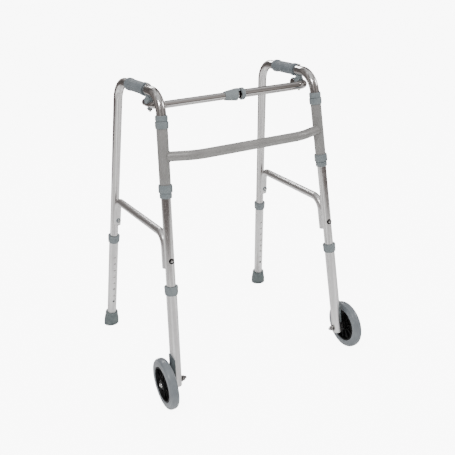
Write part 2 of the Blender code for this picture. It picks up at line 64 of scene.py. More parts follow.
SLEEVE_R = 0.0146
SLEEVE_BORE = 0.0134
SLEEVE_TOP_Z = 0.7727
SLEEVE_END_Z = 0.6025
BUSHING_CAP = 0.0040
UPPER_BUSHING_R = 0.0169
UPPER_SKIRT = 0.0135
LOWER_BUSHING_R = 0.0181
LOWER_SKIRT = 0.0165
STOP_R = 0.0160
STOP_LENGTH = 0.0138

CROSSBAR_Z = 0.689
CROSSBAR_R = 0.0127
CROSSBAR_WALL = 0.0015
CROSSBAR_Y = 0.020
CROSSBAR_BEND_X = 0.155
CROSSBAR_BEND = 0.120

BRACE_R = 0.0110
BRACE_BORE = 0.0096
BRACE_Z = 0.482
BRACE_BEND = 0.036
BRACE_FRONT_END_Z = 0.391
BRACE_REAR_END_Z = 0.400
RIVET_Z = 0.419

GRIP_FRONT_Y = 0.1515
GRIP_REAR_Y = 0.2680
GRIP_R = 0.0152
GRIP_FLANGE_R = 0.0174
GRIP_BORE = 0.0131
GRIP_FLANGE = 0.0150

PIVOT_Y = 0.139
BAR_Z = 0.808
BAR_Y = 0.100
BAR_REAR_Y = 0.170
BAR_BEND = 0.026
BAR_WALL = 0.0012
INNER_BAR_R = 0.0095
OUTER_BAR_R = 0.0110
INNER_BAR_END_X = 0.0094
OUTER_BAR_END_X = 0.0150
SADDLE_SPLIT_Z = 0.8215
BOLT_R = 0.0029

WHEEL_R = 0.072
WHEEL_WIDTH = 0.026
WHEEL_OFFSET = 0.0315
RIM_R = 0.0505
AXLE_HOLE_R = 0.0042
TIP_R = 0.0243
TIP_TOP = 0.050
TIP_FLOOR = 0.012

SIDES = {"right": -1, "left": 1}
UP = Vector((0, 0, 1))
REARWARD = Vector((0, 1, 0))
ON_AXIS = 1e-6  # a profile's point nearer the axis than this lies on it
CREASE = 38  # degrees; a sharper edge than this stays crisp

CAMERA_PLACE = (-0.7964, -1.4239, 1.1202)
CAMERA_YAW = -26.333  # degrees, as are the next two
CAMERA_PITCH = -21.766
CAMERA_ROLL = -2.993
CAMERA_LENS = 51.63
CAMERA_SENSOR = 36
VIEW_WAY = (0.43, 0.90, 0)  # along the floor, the way the camera looks

WHITE = (1, 1, 1, 1)
BACKDROP = 9.0  # how bright the studio's white looks to the camera
LIT_FLOOR = 0.9  # about how bright the floor's own light makes it
FLOOR_SIZE = 30
MIRRORED_WALLS = (  # the walls as reflections show them: height, from level at 0 to overhead at 1, and colour
    (0.00, (0.42, 0.39, 0.375)), (0.28, (0.36, 0.33, 0.32)), (0.52, (0.42, 0.39, 0.38)),
    (0.72, (0.46, 0.435, 0.425)), (0.90, (1.0, 1.0, 1.0)),
)
MIRRORED_FLOOR = (0.15, 0.13, 0.125, 1)  # the floor where reflections show it darkest
STREAK_WAVES = ((5.0, 0.6), (11.0, 2.1))  # how many bands round the compass, and where they start

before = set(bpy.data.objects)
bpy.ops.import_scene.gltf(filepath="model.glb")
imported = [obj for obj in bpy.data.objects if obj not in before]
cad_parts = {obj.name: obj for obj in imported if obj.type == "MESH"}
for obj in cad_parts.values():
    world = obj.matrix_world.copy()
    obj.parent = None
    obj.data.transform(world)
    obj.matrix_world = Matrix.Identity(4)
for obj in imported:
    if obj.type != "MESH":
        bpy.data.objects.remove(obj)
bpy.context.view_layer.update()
tyre_low, tyre_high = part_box("tyre_right")
MIDDLE_Y = FRONT_RAKE * WHEEL_R - (tyre_low.y + tyre_high.y) / 2


# ---------------------------------------------------------------- frame geometry
def side_point(side, y, z):
    return Vector((side * (HALF_WIDTH + TOE_OUT * y - LEAN_IN * z), y - MIDDLE_Y, z))


def front_leg(side, z):
    return side_point(side, FRONT_RAKE * z, z)


def rear_leg(side, z):
    return side_point(side, REAR_FOOT - REAR_RAKE * z, z)


def up_leg(leg, side):
    return (leg(side, 1.0) - leg(side, 0.0)).normalized()


def handle_way(side):
    return Vector((side * TOE_OUT, 1.0, 0.0)).normalized()


def leg_normal(leg, side):
    """Square to a leg, in the side frame's plane, pointing to the rear."""
    across = handle_way(side).cross(up_leg(front_leg, side))
    normal = up_leg(leg, side).cross(across).normalized()
    return normal if normal.y > 0 else -normal


def rounded_path(points, radii, steps):
    path = [points[0]]
    for before, corner, after, radius in zip(points, points[1:], points[2:], radii):
        way_in = (before - corner).normalized()
        way_out = (after - corner).normalized()
        half = way_in.angle(way_out) / 2
        centre = corner + (way_in + way_out).normalized() * (radius / math.sin(half))
        first = corner + way_in * (radius / math.tan(half)) - centre
        last = corner + way_out * (radius / math.tan(half)) - centre
        path += [centre + first.slerp(last, n / steps).normalized() * radius for n in range(steps + 1)]
    return path + [points[-1]]


# ---------------------------------------------------------------- mesh helpers
def basis(axis, facing):
    up = axis.normalized()
    out = (facing - up * facing.dot(up)).normalized()
    return Matrix((out, up.cross(out), up)).transposed().to_4x4()


def softened(profile, radius, steps=3):
    """A closed profile with each corner off the axis rounded."""
    points = [Vector((r, h)) for r, h in profile]
    soft = []
    for index, corner in enumerate(points):
        before, after = points[index - 1], points[(index + 1) % len(points)]
        if corner.x < ON_AXIS:
            soft.append(corner)
            continue
        reach_in = min(radius, (before - corner).length * 0.45)
        reach_out = min(radius, (after - corner).length * 0.45)
        first = corner + (before - corner).normalized() * reach_in
        last = corner + (after - corner).normalized() * reach_out
        for n in range(steps + 1):
            t = n / steps
            soft.append(first * (1 - t) ** 2 + corner * 2 * t * (1 - t) + last * t ** 2)
    return [(p.x, p.y) for p in soft]


def finished(shape, name, body, material, crease=CREASE):
    """Turns a bmesh into a smooth shaded piece that rides on a body."""
    bmesh.ops.recalc_face_normals(shape, faces=shape.faces)
    mesh = bpy.data.meshes.new(name)
    shape.to_mesh(mesh)
    shape.free()
    mesh.materials.append(material)
    mesh.shade_smooth()
    mesh.set_sharp_from_angle(angle=math.radians(crease))
    piece = bpy.data.objects.new(name, mesh)
    bpy.context.scene.collection.objects.link(piece)
    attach(piece, body)
    return piece


def lathe(profile, place, steps, wobble=None):
    """Turns a closed (radius, height) profile. A point on the axis becomes one vertex."""
    shape = bmesh.new()
    rings = []
    for radius, height in profile:
        if radius < ON_AXIS:
            rings.append([shape.verts.new(place @ Vector((0, 0, height)))] * steps)
            continue
        ring = []
        for n in range(steps):
            turn = math.tau * n / steps
            r = radius + (wobble(radius, height, turn) if wobble else 0)
            ring.append(shape.verts.new(place @ Vector((r * math.cos(turn), r * math.sin(turn), height))))
        rings.append(ring)
    for low, high in zip(rings, rings[1:] + rings[:1]):
        for n in range(steps):
            m = (n + 1) % steps
            corners = []
            for vert in (low[n], low[m], high[m], high[n]):
                if vert not in corners:
                    corners.append(vert)
            if len(corners) > 2:
                shape.faces.new(corners)
    return shape


def turned(name, profile, body, material, origin, axis, facing=REARWARD,
           steps=48, soft=0.0006, wobble=None, crease=CREASE):
    """A piece turned from a profile, with its corners softened first."""
    place = Matrix.Translation(origin) @ basis(axis, facing)
    outline = softened(profile, soft) if soft else profile
    return finished(lathe(outline, place, steps, wobble), name, body, material, crease)


def swept(path, radius, bore, sides=40):
    """A hollow tube along a path, with a small chamfer on each end."""
    shape = bmesh.new()
    tangents = [(b - a).normalized() for a, b in zip(path, path[1:])]
    ways = [tangents[0]]
    ways += [(a + b).normalized() for a, b in zip(tangents, tangents[1:])]
    ways.append(tangents[-1])
    side_way = ways[0].orthogonal().normalized()
    spokes = []
    for way in ways:
        side_way = (side_way - way * side_way.dot(way)).normalized()
        spokes.append((side_way.copy(), way.cross(side_way)))

    def ring(index, r, shift=0.0):
        u, v = spokes[index]
        centre = path[index] + ways[index] * shift
        turns = [math.tau * n / sides for n in range(sides)]
        return [shape.verts.new(centre + (u * math.cos(t) + v * math.sin(t)) * r) for t in turns]

    chamfer = 0.0005
    last = len(path) - 1
    rings = [ring(0, radius, chamfer)]
    rings += [ring(n, radius) for n in range(1, last)]
    rings += [ring(last, radius, -chamfer), ring(last, radius - chamfer)]
    rings += [ring(last, bore)] + [ring(n, bore) for n in range(last - 1, 0, -1)]
    rings += [ring(0, bore), ring(0, radius - chamfer)]
    for low, high in zip(rings, rings[1:] + rings[:1]):
        for n in range(sides):
            m = (n + 1) % sides
            shape.faces.new((low[n], low[m], high[m], high[n]))
    return shape


def blocky(boxes, rounding):
    """Rounded blocks in one mesh, each given by its place and its size."""
    shape = bmesh.new()
    for place, size in boxes:
        matrix = place @ Matrix.Diagonal((*size, 1.0))
        made = bmesh.ops.create_cube(shape, size=1.0, matrix=matrix)
        edges = list({edge for vert in made["verts"] for edge in vert.link_edges})
        bmesh.ops.bevel(shape, geom=edges, offset=rounding, segments=3, affect="EDGES", profile=0.5)
    return shape


def cut(piece, shape, name):
    """Takes a closed bmesh away from a piece."""
    mesh = bpy.data.meshes.new(name)
    bmesh.ops.recalc_face_normals(shape, faces=shape.faces)
    shape.to_mesh(mesh)
    shape.free()
    cutter = bpy.data.objects.new(name, mesh)
    bpy.context.scene.collection.objects.link(cutter)
    change = piece.modifiers.new(name, "BOOLEAN")
    change.operation = "DIFFERENCE"
    change.solver = "EXACT"
    change.object = cutter
    bpy.context.view_layer.update()
    graph = bpy.context.evaluated_depsgraph_get()
    result = bpy.data.meshes.new_from_object(piece.evaluated_get(graph))
    piece.modifiers.remove(change)
    piece.data = result
    result.set_sharp_from_angle(angle=math.radians(CREASE))
    bpy.data.objects.remove(cutter, do_unlink=True)


def rod_shape(centre, axis, radius, length, sides, shape=None):
    """A solid rod, on its own or added to a bmesh."""
    shape = shape or bmesh.new()
    place = Matrix.Translation(centre) @ basis(axis, Vector((0.3, 1, 0.1)))
    bmesh.ops.create_cone(shape, cap_ends=True, segments=sides, radius1=radius, radius2=radius,
                          depth=length, matrix=place)
    return shape


# ---------------------------------------------------------------- shader nodes
def feed(tree, socket, value):
    """Links a socket to another node's output, or gives it a plain value."""
    if isinstance(value, bpy.types.NodeSocket):
        tree.links.new(value, socket)
    else:
        socket.default_value = value


def calculated(tree, operation, *values):
    node = tree.nodes.new("ShaderNodeMath")
    node.operation = operation
    for socket, value in zip(node.inputs, values):
        feed(tree, socket, value)
    return node.outputs["Value"]


def measured(tree, operation, *vectors):
    node = tree.nodes.new("ShaderNodeVectorMath")
    node.operation = operation
    for socket, vector in zip(node.inputs, vectors):
        feed(tree, socket, vector)
    return node.outputs["Value"]


def remapped(tree, value, source, target=(0.0, 1.0)):
    """Carries a value from one range to another, and holds it at the ends."""
    node = tree.nodes.new("ShaderNodeMapRange")
    feed(tree, node.inputs["Value"], value)
    for name, limit in zip(("From Min", "From Max", "To Min", "To Max"), source + target):
        node.inputs[name].default_value = limit
    return node.outputs["Result"]


def colour_ramp(tree, factor, stops):
    node = tree.nodes.new("ShaderNodeValToRGB")
    elements = node.color_ramp.elements
    for element, (position, colour) in zip(elements, stops):
        element.position = position
        element.color = (*colour, 1)
    for position, colour in stops[2:]:
        elements.new(position).color = (*colour, 1)
    feed(tree, node.inputs["Fac"], factor)
    return node.outputs["Color"]


def background(tree, colour, strength):
    node = tree.nodes.new("ShaderNodeBackground")
    feed(tree, node.inputs["Color"], colour)
    feed(tree, node.inputs["Strength"], strength)
    return node.outputs["Background"]


def mixed(tree, factor, first, second):
    node = tree.nodes.new("ShaderNodeMixShader")
    for socket, value in zip(node.inputs, (factor, first, second)):
        feed(tree, socket, value)
    return node.outputs["Shader"]


# ---------------------------------------------------------------- materials
class Paint:
    """Builds one procedural material around a Principled shader."""

    def __init__(self, name, metallic=0.0, **fixed):
        self.material = bpy.data.materials.new(name)
        self.material.use_nodes = True
        self.tree = self.material.node_tree
        self.shader = self.tree.nodes["Principled BSDF"]
        self.shader.inputs["Metallic"].default_value = metallic
        for socket, value in fixed.items():
            self.shader.inputs[socket.replace("_", " ")].default_value = value
        self.where = self.tree.nodes.new("ShaderNodeTexCoord").outputs["Object"]

    def noise(self, scale, stretch=(1, 1, 1), detail=3.0):
        mapping = self.tree.nodes.new("ShaderNodeMapping")
        mapping.inputs["Scale"].default_value = stretch
        feed(self.tree, mapping.inputs["Vector"], self.where)
        noise = self.tree.nodes.new("ShaderNodeTexNoise")
        noise.inputs["Scale"].default_value = scale
        noise.inputs["Detail"].default_value = detail
        feed(self.tree, noise.inputs["Vector"], mapping.outputs["Vector"])
        return noise.outputs["Fac"]

    def cells(self, scale):
        voronoi = self.tree.nodes.new("ShaderNodeTexVoronoi")
        voronoi.inputs["Scale"].default_value = scale
        feed(self.tree, voronoi.inputs["Vector"], self.where)
        return voronoi.outputs["Distance"]

    def colour(self, factor, dark, light):
        spread = colour_ramp(self.tree, factor, ((0.35, dark), (0.65, light)))
        feed(self.tree, self.shader.inputs["Base Color"], spread)
        return self

    def rough(self, factor, low, high):
        spread = remapped(self.tree, factor, (0.3, 0.7), (low, high))
        feed(self.tree, self.shader.inputs["Roughness"], spread)
        return self

    def bump(self, height, strength, distance):
        bump = self.tree.nodes.new("ShaderNodeBump")
        bump.inputs["Strength"].default_value = strength
        bump.inputs["Distance"].default_value = distance
        feed(self.tree, bump.inputs["Height"], height)
        feed(self.tree, self.shader.inputs["Normal"], bump.outputs["Normal"])
        return self


def polished_tube():
    paint = Paint("polished_tube", 1.0)
    paint.colour(paint.noise(14), (0.74, 0.725, 0.715), (0.83, 0.82, 0.81))
    paint.rough(paint.noise(60, (6, 6, 0.4)), 0.14, 0.24)
    return paint.bump(paint.noise(90, (1, 1, 0.3), 1), 0.02, 0.0002).material


def satin_tube():
    paint = Paint("satin_tube", 1.0)
    paint.colour(paint.noise(10), (0.82, 0.81, 0.805), (0.90, 0.895, 0.89))
    paint.rough(paint.noise(90, (6, 6, 0.3)), 0.30, 0.42)
    return paint.bump(paint.noise(140, (1, 1, 0.3), 1), 0.03, 0.0002).material


def chrome_tube():
    paint = Paint("chrome_tube", 1.0)
    paint.colour(paint.noise(9), (0.57, 0.55, 0.54), (0.66, 0.645, 0.635))
    return paint.rough(paint.noise(50, (0.5, 5, 5)), 0.06, 0.14).material


def frame_paint():
    paint = Paint("frame_paint", 0.15, Coat_Weight=0.40, Coat_Roughness=0.20)
    paint.colour(paint.noise(25), (0.285, 0.278, 0.268), (0.325, 0.318, 0.308))
    paint.rough(paint.noise(150), 0.36, 0.50)
    return paint.bump(paint.noise(900, detail=2), 0.12, 0.0002).material


def moulded_plastic(name, dark, light):
    paint = Paint(name)
    paint.colour(paint.noise(45), dark, light)
    paint.rough(paint.noise(220), 0.42, 0.58)
    return paint.bump(paint.noise(1400, detail=2), 0.18, 0.0002).material


def grip_rubber():
    paint = Paint("grip_rubber", Sheen_Weight=0.15, Sheen_Roughness=0.4)
    paint.colour(paint.noise(60), (0.132, 0.153, 0.169), (0.172, 0.196, 0.213))
    paint.rough(paint.noise(180), 0.52, 0.70)
    return paint.bump(paint.cells(1100), 0.35, 0.0003).material


def tip_rubber():
    paint = Paint("tip_rubber")
    paint.colour(paint.noise(70), (0.120, 0.145, 0.148), (0.160, 0.188, 0.190))
    paint.rough(paint.noise(200), 0.60, 0.78)
    return paint.bump(paint.noise(800), 0.30, 0.0003).material


def tyre_rubber():
    paint = Paint("tyre_rubber", Coat_Weight=0.35, Coat_Roughness=0.15)
    paint.colour(paint.noise(30), (0.170, 0.190, 0.208), (0.208, 0.229, 0.247))
    paint.rough(paint.noise(120), 0.30, 0.44)
    return paint.bump(paint.noise(500), 0.10, 0.0002).material


def black_moulding():
    paint = Paint("black_moulding", Specular_IOR_Level=0.12)
    paint.colour(paint.noise(80), (0.0025, 0.0025, 0.0025), (0.008, 0.008, 0.0085))
    paint.rough(paint.noise(160), 0.32, 0.48)
    return paint.bump(paint.noise(700), 0.15, 0.0002).material


def plated_steel(name, dark, light):
    paint = Paint(name, 1.0)
    paint.colour(paint.noise(120), dark, light)
    paint.rough(paint.noise(300), 0.20, 0.38)
    return paint.bump(paint.noise(900), 0.10, 0.0002).material


def weld_metal():
    paint = Paint("weld_paint", 0.15)
    paint.colour(paint.noise(60), (0.27, 0.262, 0.25), (0.315, 0.308, 0.298))
    paint.rough(paint.noise(250), 0.40, 0.60)
    return paint.bump(paint.noise(420), 0.6, 0.0008).material


TUBE = polished_tube()
SATIN = satin_tube()
CHROME = chrome_tube()
PAINT = frame_paint()
WELD = weld_metal()
PLASTIC = moulded_plastic("grey_plastic", (0.185, 0.215, 0.226), (0.235, 0.266, 0.277))
LATCH_PLASTIC = moulded_plastic("latch_plastic", (0.215, 0.245, 0.256), (0.262, 0.294, 0.305))
GRIP = grip_rubber()
TIP = tip_rubber()
TYRE = tyre_rubber()
BLACK = black_moulding()
STEEL = plated_steel("plated_steel", (0.46, 0.46, 0.455), (0.66, 0.655, 0.645))
DARK_STEEL = plated_steel("dark_steel", (0.16, 0.155, 0.15), (0.30, 0.29, 0.285))
CATCH = moulded_plastic("catch_plastic", (0.050, 0.044, 0.040), (0.095, 0.085, 0.080))
# a darker copy of the grey plastic: painted shade for the leg saddle, where the wheel shades the leg
SHADED_SADDLE_PLASTIC = moulded_plastic("saddle_plastic_painted_shade", (0.105, 0.122, 0.130), (0.145, 0.164, 0.172))


# ---------------------------------------------------------------- the front frame
def front_frame():
    body, slot = "front_frame", "painted_frame"
    corners = [
        front_leg(-1, CROSSBAR_Z), Vector((-CROSSBAR_BEND_X, CROSSBAR_Y - MIDDLE_Y, CROSSBAR_Z)),
        Vector((CROSSBAR_BEND_X, CROSSBAR_Y - MIDDLE_Y, CROSSBAR_Z)), front_leg(1, CROSSBAR_Z),
    ]
    path = rounded_path(corners, [CROSSBAR_BEND] * 2, 14)
    bar = finished(swept(path, CROSSBAR_R, CROSSBAR_R - CROSSBAR_WALL), "crossbar", body, PAINT)
    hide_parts("front_crossbar")
    overlap = 0.0004
    for word, side in SIDES.items():
        up = up_leg(front_leg, side)
        cope = rod_shape(front_leg(side, CROSSBAR_Z), up, SLEEVE_R - overlap, length=0.08, sides=48)
        cut(bar, cope, "cope")
        foot = front_leg(side, SLEEVE_END_Z)
        length = (front_leg(side, SLEEVE_TOP_Z) - foot).length
        sleeve = turned("pivot_sleeve_" + word, [
            (SLEEVE_R, length), (SLEEVE_R, 0), (SLEEVE_BORE, 0), (SLEEVE_BORE, length)],
            body, PAINT, foot, up, soft=0.0003)
        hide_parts("sleeve_" + word)
        weld(word, side, path if side > 0 else path[::-1])
        bushing(word, side, "upper", SLEEVE_TOP_Z, 1, seam_turn=0.0)
        bushing(word, side, "lower", SLEEVE_END_Z, -1, seam_turn=2.0)


def weld(word, side, path):
    """The bead where the crossbar's end meets the sleeve."""
    up = up_leg(front_leg, side)
    centre = front_leg(side, CROSSBAR_Z)
    inward = (path[-2] - path[-1]).normalized()
    out = (inward - up * inward.dot(up)).normalized()
    across = up.cross(out)
    bead_r = 0.0016
    ripples, ripple_depth = 26, 0.12
    sides, around = 12, 96
    shape = bmesh.new()
    rings = []
    for n in range(around):
        turn = math.tau * n / around
        lift = CROSSBAR_R * math.sin(turn)
        swing = math.asin(min(0.999, CROSSBAR_R * math.cos(turn) / SLEEVE_R))
        radial = out * math.cos(swing) + across * math.sin(swing)
        point = centre + up * lift + radial * SLEEVE_R
        away = (up * math.sin(turn) + across * math.cos(turn)).normalized()
        r = bead_r * (1 + ripple_depth * math.sin(turn * ripples))
        ring = []
        for m in range(sides):
            angle = math.tau * m / sides
            ring.append(shape.verts.new(point + (away * math.cos(angle) + radial * math.sin(angle)) * r))
        rings.append(ring)
    for low, high in zip(rings, rings[1:] + rings[:1]):
        for m in range(sides):
            k = (m + 1) % sides
            shape.faces.new((low[m], low[k], high[k], high[m]))
    finished(shape, "crossbar_weld_" + word, "front_frame", WELD, 60)


def bushing(word, side, place, z, way, seam_turn):
    """A moulded cup on the sleeve's end, with a parting line down two sides."""
    outer, skirt = (UPPER_BUSHING_R, UPPER_SKIRT) if way > 0 else (LOWER_BUSHING_R, LOWER_SKIRT)
    top = skirt + BUSHING_CAP
    bore = SLEEVE_R + SLIP_GAP
    profile = [
        (outer - 0.0012, top), (outer, top - 0.0016), (outer, 0.0042), (outer - 0.0005, 0.0036),
        (outer - 0.0005, 0), (bore, 0), (bore, skirt + FIT), (LOWER_BORE, skirt + FIT), (LOWER_BORE, top),
    ]

    seam_half, seam_depth = 0.05, 0.00035

    def seam(radius, height, turn):
        near = abs(math.remainder(turn - seam_turn, math.pi)) < seam_half
        return -seam_depth if near and radius > outer - 0.002 else 0.0

    axis = up_leg(front_leg, side) * way
    cup = turned("swivel_bushing_%s_%s" % (place, word), profile, "front_frame", PLASTIC,
                 front_leg(side, z) - axis * skirt, axis, steps=72, wobble=seam)
    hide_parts("sleeve_bushing_%s_%s" % (place, word))


# ---------------------------------------------------------------- the side frames
def side_tube(word, side, body):
    corners = [
        front_leg(side, FRONT_BUTTON_Z - TUBE_PAST_BUTTON), front_leg(side, HANDLE_Z),
        rear_leg(side, HANDLE_Z), rear_leg(side, REAR_BUTTON_Z - TUBE_PAST_BUTTON),
    ]
    path = rounded_path(corners, [FRONT_BEND, REAR_BEND], 28)
    tube = finished(swept(path, LEG_R, LEG_BORE), "bent_side_tube_" + word, body, TUBE)
    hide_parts("side_tube_" + word)


def brace(word, side, body):
    offset = LEG_R + BRACE_R + FIT
    front_shift = leg_normal(front_leg, side) * offset
    rear_shift = -leg_normal(rear_leg, side) * offset
    corners = [
        front_leg(side, BRACE_FRONT_END_Z) + front_shift, front_leg(side, BRACE_Z) + front_shift,
        rear_leg(side, BRACE_Z) + rear_shift, rear_leg(side, BRACE_REAR_END_Z) + rear_shift,
    ]
    path = rounded_path(corners, [BRACE_BEND] * 2, 18)
    tube = finished(swept(path, BRACE_R, BRACE_BORE, 32), "arched_brace_" + word, body, SATIN)
    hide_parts("side_brace_" + word)


def through_bolt(word, side, place, leg, head_seat, tail_seat, body):
    """A button-head bolt on a cupped washer, with a domed nut on the far side."""
    forward = -leg_normal(leg, side)
    up = up_leg(leg, side)
    centre = leg(side, RIVET_Z)
    node = "brace_rivet_%s_%s" % (place, word)
    head = turned("brace_bolt_%s_%s" % (place, word), [
        (0, head_seat + 0.0034), (0.0018, head_seat + 0.0033), (0.0034, head_seat + 0.0026),
        (0.0042, head_seat + 0.0012), (0.0042, head_seat + 0.0002), (BOLT_R, head_seat),
        (BOLT_R, -tail_seat), (0.0046, -tail_seat), (0.0050, -tail_seat - 0.0012),
        (0.0032, -tail_seat - 0.0023), (0, -tail_seat - 0.0024)],
        body, STEEL, centre, forward, up, steps=40, soft=0.0002)
    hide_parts(node)
    washer_paint, slot = (BLACK, "black_plastic") if place == "front" else (PLASTIC, "grey_plastic")
    turned("brace_washer_%s_%s" % (place, word), [
        (0.0074, head_seat - 0.0016), (0.0073, head_seat + 0.0016), (0.0062, head_seat + 0.0019),
        (0.0050, head_seat + 0.0008), (0.0031, head_seat + 0.0006), (0.0031, head_seat - 0.0016)],
        body, washer_paint, centre, forward, up, steps=40, soft=0.0002)


def stop_collar(word, side, place, z, way, body):
    """A collar on the leg beyond the sleeve's bushing, with a set screw at the rear."""
    axis = up_leg(front_leg, side) * way
    bore = LEG_R + PRESS_GAP
    profile = [
        (STOP_R - 0.0013, STOP_LENGTH), (STOP_R - 0.0002, STOP_LENGTH - 0.0012), (STOP_R, 0.0030),
        (STOP_R - 0.0006, 0.0014), (STOP_R - 0.0006, 0), (bore, 0), (bore, STOP_LENGTH),
    ]
    ring = turned("stop_ring_%s_%s" % (place, word), profile, body, PLASTIC,
                  front_leg(side, z) + axis * (BUSHING_CAP + 0.0006), axis, steps=56, soft=0.0007)
    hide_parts("stop_collar_%s_%s" % (place, word))
    screw_at = front_leg(side, z) + axis * (BUSHING_CAP + STOP_LENGTH * 0.55)
    rearward = leg_normal(front_leg, side)
    turned("stop_screw_%s_%s" % (place, word), [
        (0, STOP_R + 0.0006), (0.0016, STOP_R + 0.0004), (0.0022, STOP_R - 0.0006), (0, STOP_R - 0.0010)],
        body, STEEL, screw_at, rearward, axis, steps=24, soft=0)


def hand_grip(word, side, body):
    length = (GRIP_REAR_Y - GRIP_FRONT_Y) * math.hypot(1, TOE_OUT)
    flange = GRIP_FLANGE
    flutes, flute_depth = 20, 0.00042
    margin, fade_length = 0.006, 0.004
    bulge = 0.0008
    bore = LEG_R + PRESS_GAP

    def texture(radius, height, turn):
        """Shallow flutes along a slightly swollen body, which fade out before the flanges."""
        if radius < GRIP_BORE + 0.001:
            return 0.0
        inside = min(height - flange - margin, length - flange - margin - height)
        fade = max(0.0, min(1.0, inside / fade_length))
        swell = bulge * math.sin(math.pi * max(0.0, min(1.0, height / length)))
        return swell * fade - flute_depth * fade * (0.5 + 0.5 * math.cos(turn * flutes)) ** 2

    outline = [(GRIP_FLANGE_R - 0.0020, length), (GRIP_FLANGE_R, length - 0.0022)]
    outline += [(GRIP_FLANGE_R, length - flange + 0.0018), (GRIP_R - 0.0002, length - flange - 0.0034)]
    body_steps = 14
    start, end = length - flange - 0.0062, flange + 0.0062
    outline += [(GRIP_R, start + (end - start) * n / body_steps) for n in range(body_steps + 1)]
    outline += [(GRIP_R - 0.0002, flange + 0.0034), (GRIP_FLANGE_R, flange - 0.0018)]
    outline += [(GRIP_FLANGE_R, 0.0022), (GRIP_FLANGE_R - 0.0020, 0), (bore, 0), (bore, length)]
    grip = turned("fluted_grip_" + word, outline, body, GRIP,
                  side_point(side, GRIP_FRONT_Y, HANDLE_Z), handle_way(side), UP, steps=160, soft=0.0008,
                  wobble=texture, crease=50)
    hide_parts("hand_grip_" + word)


# ---------------------------------------------------------------- the spreader bar and its pivots
def pivot_point(side, z):
    return Vector((*side_point(side, PIVOT_Y, HANDLE_Z).xy, z))


def bar_pivot(word, side, bar_r, side_body, bar_body):
    """The bolt down through the handle and the bar, its cup and nut, and the saddles between them."""
    down_to = BAR_Z - bar_r - FIT
    head_seat = HANDLE_Z + LEG_R + FIT
    origin = pivot_point(side, 0)
    bolt = turned("pivot_bolt_" + word, [
        (0, head_seat + 0.0024), (0.0017, head_seat + 0.0024), (0.0020, head_seat + 0.0040),
        (0.0034, head_seat + 0.0037), (0.0055, head_seat + 0.0016), (0.0057, head_seat),
        (BOLT_R, head_seat), (BOLT_R, down_to - 0.0105), (0, down_to - 0.0105)],
        side_body, STEEL, origin, UP, steps=36, soft=0.0002)
    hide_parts("bar_pivot_bolt_" + word)
    turned("pivot_cup_" + word, [
        (0.0078, down_to - 0.0002), (0.0084, down_to - 0.0016), (0.0070, down_to - 0.0030),
        (0.0032, down_to - 0.0030), (0.0032, down_to - 0.0002)],
        side_body, PLASTIC, origin, UP, steps=40, soft=0.0003)
    nut = turned("pivot_nut_" + word, [
        (0.0064, down_to - 0.0031), (0.0064, down_to - 0.0060), (0.0040, down_to - 0.0082),
        (0.0031, down_to - 0.0082), (0.0031, down_to - 0.0031)],
        side_body, STEEL, origin, UP, steps=6, soft=0)
    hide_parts("bar_pivot_nut_" + word)
    upper = turned("handle_saddle_" + word, [
        (0.0092, HANDLE_Z - 0.0060), (0.0092, SADDLE_SPLIT_Z + 0.0040), (0.0112, SADDLE_SPLIT_Z + 0.0018),
        (0.0112, SADDLE_SPLIT_Z + 0.0003), (0.0033, SADDLE_SPLIT_Z + 0.0003), (0.0033, HANDLE_Z - 0.0060)],
        side_body, PLASTIC, origin, UP, steps=56, soft=0.0005)
    handle = rod_shape(side_point(side, PIVOT_Y, HANDLE_Z), handle_way(side), LEG_R + SEAT_GAP,
                       length=0.06, sides=64)
    cut(upper, handle, "seat")
    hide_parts("bar_saddle_upper_" + word)
    lower = turned("bar_saddle_" + word, [
        (0.0105, SADDLE_SPLIT_Z), (0.0125, SADDLE_SPLIT_Z - 0.0018), (0.0125, BAR_Z + 0.0020),
        (0.0033, BAR_Z + 0.0020), (0.0033, SADDLE_SPLIT_Z)],
        bar_body, PLASTIC, origin, UP, steps=56, soft=0.0006)
    bar = rod_shape(pivot_point(side, BAR_Z), REARWARD, bar_r + SEAT_GAP, length=0.06, sides=64)
    cut(lower, bar, "seat")
    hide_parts("bar_saddle_lower_" + word)


def spreader_half(word, side, bar_r, end_x, body):
    corner_y = BAR_Y - MIDDLE_Y
    pivot = pivot_point(side, BAR_Z)
    corners = [
        Vector((pivot.x, BAR_REAR_Y - MIDDLE_Y, BAR_Z)), Vector((pivot.x, corner_y, BAR_Z)),
        Vector((end_x, corner_y, BAR_Z)),
    ]
    path = rounded_path(corners, [BAR_BEND], 22)
    tube = finished(swept(path, bar_r, bar_r - BAR_WALL), "spreader_bar_" + word, body, CHROME)
    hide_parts("spreader_tube_" + word)
    plug_r = bar_r - 0.0014
    turned("spreader_end_plug_" + word, [
        (0, 0.0006), (bar_r - 0.0030, 0.0004), (plug_r, -0.0010), (plug_r, -0.0080), (0, -0.0080)],
        body, BLACK, corners[0], REARWARD, UP, steps=40, soft=0.0003)


